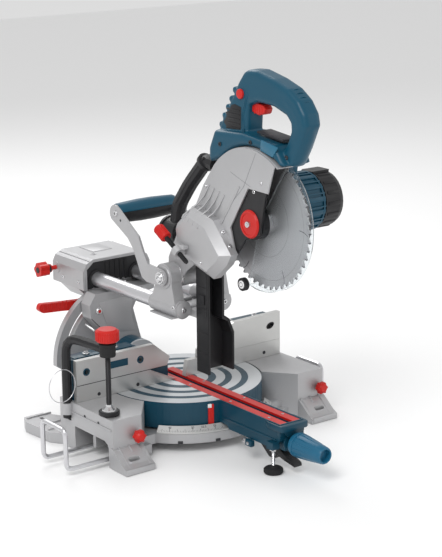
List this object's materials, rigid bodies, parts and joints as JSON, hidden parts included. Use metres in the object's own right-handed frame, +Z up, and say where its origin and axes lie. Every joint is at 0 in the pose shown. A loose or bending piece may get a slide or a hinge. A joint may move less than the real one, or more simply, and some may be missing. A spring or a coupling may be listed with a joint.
{
  "type": "sliding mitre saw",
  "caption": "Sliding compound mitre saw with round turntable, tilting rail arm, spring-raised blade head, work clamp and pull-out side supports.",
  "frame": {"origin": "middle of the footprint at bench level, at rest", "axes": "+X to the operator's right, +Y away from the operator, +Z up; the turntable axis is at x 0.030, y 0.03385"},
  "size_m": [0.532, 0.674, 0.628],
  "materials": {
    "cast_alloy": "light grey die casting, fine satin grain",
    "machined_alloy": "machined face with faint lay marks",
    "steel": "ground and plated",
    "blade_steel": "fine circular grinding",
    "blue_paint": "satin powder coat",
    "blue_plastic": "moulded, fine grain",
    "black_plastic": "moulded, fine grain",
    "black_rubber": "matt",
    "red_plastic": "moulded, semi-gloss",
    "clear_plastic": "clear polycarbonate"
  },
  "bodies": {
    "base": {"base_casting": "cast_alloy", "mitre_scale": "machined_alloy", "fence_casting_left": "blue_paint", "fence_casting_right": "blue_paint", "fence_face_left": "machined_alloy", "fence_face_right": "machined_alloy"},
    "subfence_left": {"subfence_left": "machined_alloy"},
    "subfence_right": {"subfence_right": "machined_alloy"},
    "hoop_left": {"hoop_left": "steel"},
    "hoop_right": {"hoop_right": "steel"},
    "hoop_knob_left": {"hoop_knob_left": "red_plastic"},
    "hoop_knob_right": {"hoop_knob_right": "red_plastic"},
    "clamp_post": {"clamp_post": "black_plastic"},
    "clamp_spindle": {"clamp_spindle": "red_plastic"},
    "table": {"turntable": "blue_paint", "kerf_insert_left": "red_plastic", "kerf_insert_right": "red_plastic", "mitre_pointer": "red_plastic", "pivot_bolt": "steel", "bevel_quadrant": "cast_alloy", "bevel_pin": "steel"},
    "mitre_knob": {"mitre_knob": "blue_plastic"},
    "detent_lever": {"detent_lever": "black_plastic"},
    "arm_foot": {"arm_foot": "black_rubber"},
    "bevel_arm": {"bevel_neck": "cast_alloy", "rail_housing": "cast_alloy", "housing_insert": "black_plastic"},
    "bevel_lever": {"bevel_lever": "red_plastic"},
    "slide_lock_knob": {"slide_lock_knob": "red_plastic"},
    "carriage": {"carriage": "cast_alloy", "rail_left": "steel", "rail_right": "steel", "rail_end_plate": "black_plastic", "dust_duct": "black_plastic"},
    "head": {"head_casting": "cast_alloy", "gear_cover": "black_plastic", "hinge_pin": "steel", "upper_guard": "cast_alloy", "guard_bracket": "black_plastic", "guard_hub": "black_plastic", "hub_cap": "red_plastic", "motor_housing": "blue_plastic", "motor_cap": "black_plastic", "handle_shell": "blue_plastic", "dust_channel": "black_plastic", "depth_bracket": "cast_alloy", "carry_arm_left": "cast_alloy", "carry_arm_right": "cast_alloy", "carry_grip": "black_plastic"},
    "blade": {"arbor": "steel", "saw_blade": "blade_steel", "blade_flange": "steel"},
    "rotor": {"armature": "steel"},
    "lower_guard": {"lower_guard": "clear_plastic"},
    "guard_roller": {"guard_roller": "black_rubber"},
    "trigger": {"trigger": "red_plastic"},
    "lock_off_button": {"lock_off_button": "red_plastic"},
    "depth_screw": {"depth_screw": "red_plastic"}
  },
  "joints": [
    {"name": "mitre_turn", "type": "hinge", "parent": "base", "child": "table", "pos_m": [0.03, 0.03385, 0.081], "axis": [0, 0, -1], "range_deg": [-45, 45]},
    {"name": "bevel_tilt", "type": "hinge", "parent": "table", "child": "bevel_arm", "pos_m": [0.03, 0.19885, 0.081], "axis": [0, -1, 0], "range_deg": [-2, 31]},
    {"name": "carriage_slide", "type": "slide", "parent": "bevel_arm", "child": "carriage", "axis": [0, -1, 0], "range_m": [-0.17, 0]},
    {"name": "head_pivot", "type": "hinge", "parent": "carriage", "child": "head", "pos_m": [0.03, 0.00585, 0.272], "axis": [1, 0, 0], "range_deg": [0, 53], "stiffness_Nm_per_rad": 14, "springref_deg": -63.03},
    {"name": "blade_spin", "type": "hinge", "parent": "head", "child": "blade", "pos_m": [0.03, -0.19215, 0.393], "axis": [1, 0, 0], "continuous": true},
    {"name": "rotor_spin", "type": "hinge", "parent": "head", "child": "rotor", "pos_m": [0.03, -0.11115, 0.392], "axis": [1, 0, 0], "continuous": true},
    {"name": "guard_swing", "type": "hinge", "parent": "head", "child": "lower_guard", "pos_m": [0.03, -0.19215, 0.393], "axis": [1, 0, 0], "range_deg": [-106.5, 0]},
    {"name": "roller_spin", "type": "hinge", "parent": "lower_guard", "child": "guard_roller", "pos_m": [0.03, -0.15515, 0.287], "axis": [1, 0, 0], "continuous": true},
    {"name": "trigger_pull", "type": "hinge", "parent": "head", "child": "trigger", "pos_m": [0.03, -0.16815, 0.568], "axis": [-1, 0, 0], "range_deg": [0, 6], "stiffness_Nm_per_rad": 0.5, "springref_deg": -5.73},
    {"name": "lock_off_press", "type": "slide", "parent": "head", "child": "lock_off_button", "axis": [1, 0, 0], "range_m": [0, 0.0025], "stiffness_N_per_m": 400, "springref_m": -0.001},
    {"name": "mitre_knob_turn", "type": "hinge", "parent": "table", "child": "mitre_knob", "pos_m": [0.03, -0.25615, 0.049], "axis": [0, -1, 0], "range_deg": [0, 180]},
    {"name": "detent_press", "type": "hinge", "parent": "table", "child": "detent_lever", "pos_m": [0.03, -0.21015, 0.04], "axis": [1, 0, 0], "range_deg": [0, 8], "stiffness_Nm_per_rad": 0.5, "springref_deg": -2.86},
    {"name": "foot_turn", "type": "hinge", "parent": "table", "child": "arm_foot", "pos_m": [0.003, -0.24315, 0], "axis": [0, 0, 1], "continuous": true},
    {"name": "bevel_lever_swing", "type": "hinge", "parent": "bevel_arm", "child": "bevel_lever", "pos_m": [-0.03, 0.25185, 0.172], "axis": [0, 1, 0], "range_deg": [0, 25]},
    {"name": "slide_lock_turn", "type": "hinge", "parent": "bevel_arm", "child": "slide_lock_knob", "pos_m": [-0.04, 0.31885, 0.229], "axis": [-1, 0, 0], "range_deg": [0, 180]},
    {"name": "clamp_swing", "type": "hinge", "parent": "base", "child": "clamp_post", "pos_m": [-0.189, 0.05385, 0.081], "axis": [0, 0, -1], "range_deg": [-30, 100]},
    {"name": "clamp_feed", "type": "slide", "parent": "clamp_post", "child": "clamp_spindle", "axis": [0, 0, 1], "range_m": [0, 0.05]},
    {"name": "hoop_left_slide", "type": "slide", "parent": "base", "child": "hoop_left", "axis": [1, 0, 0], "range_m": [0, 0.055]},
    {"name": "hoop_right_slide", "type": "slide", "parent": "base", "child": "hoop_right", "axis": [1, 0, 0], "range_m": [0, 0.055]},
    {"name": "hoop_knob_left_turn", "type": "hinge", "parent": "base", "child": "hoop_knob_left", "pos_m": [-0.144, -0.07615, 0.05], "axis": [0, -1, 0], "range_deg": [0, 180]},
    {"name": "hoop_knob_right_turn", "type": "hinge", "parent": "base", "child": "hoop_knob_right", "pos_m": [0.236, -0.07615, 0.05], "axis": [0, -1, 0], "range_deg": [0, 180]},
    {"name": "subfence_left_slide", "type": "slide", "parent": "base", "child": "subfence_left", "axis": [-1, 0, 0], "range_m": [0, 0.08]},
    {"name": "subfence_right_slide", "type": "slide", "parent": "base", "child": "subfence_right", "axis": [1, 0, 0], "range_m": [0, 0.06]},
    {"name": "depth_screw_turn", "type": "hinge", "parent": "head", "child": "depth_screw", "pos_m": [-0.0405, -0.01415, 0.352], "axis": [0, 0.8748, 0.4845], "continuous": true}
  ],
  "couplings": [
    {"joint": "guard_swing", "follows": "head_pivot", "ratio": -2},
    {"joint": "rotor_spin", "follows": "blade_spin", "ratio": -2.8986}
  ]
}
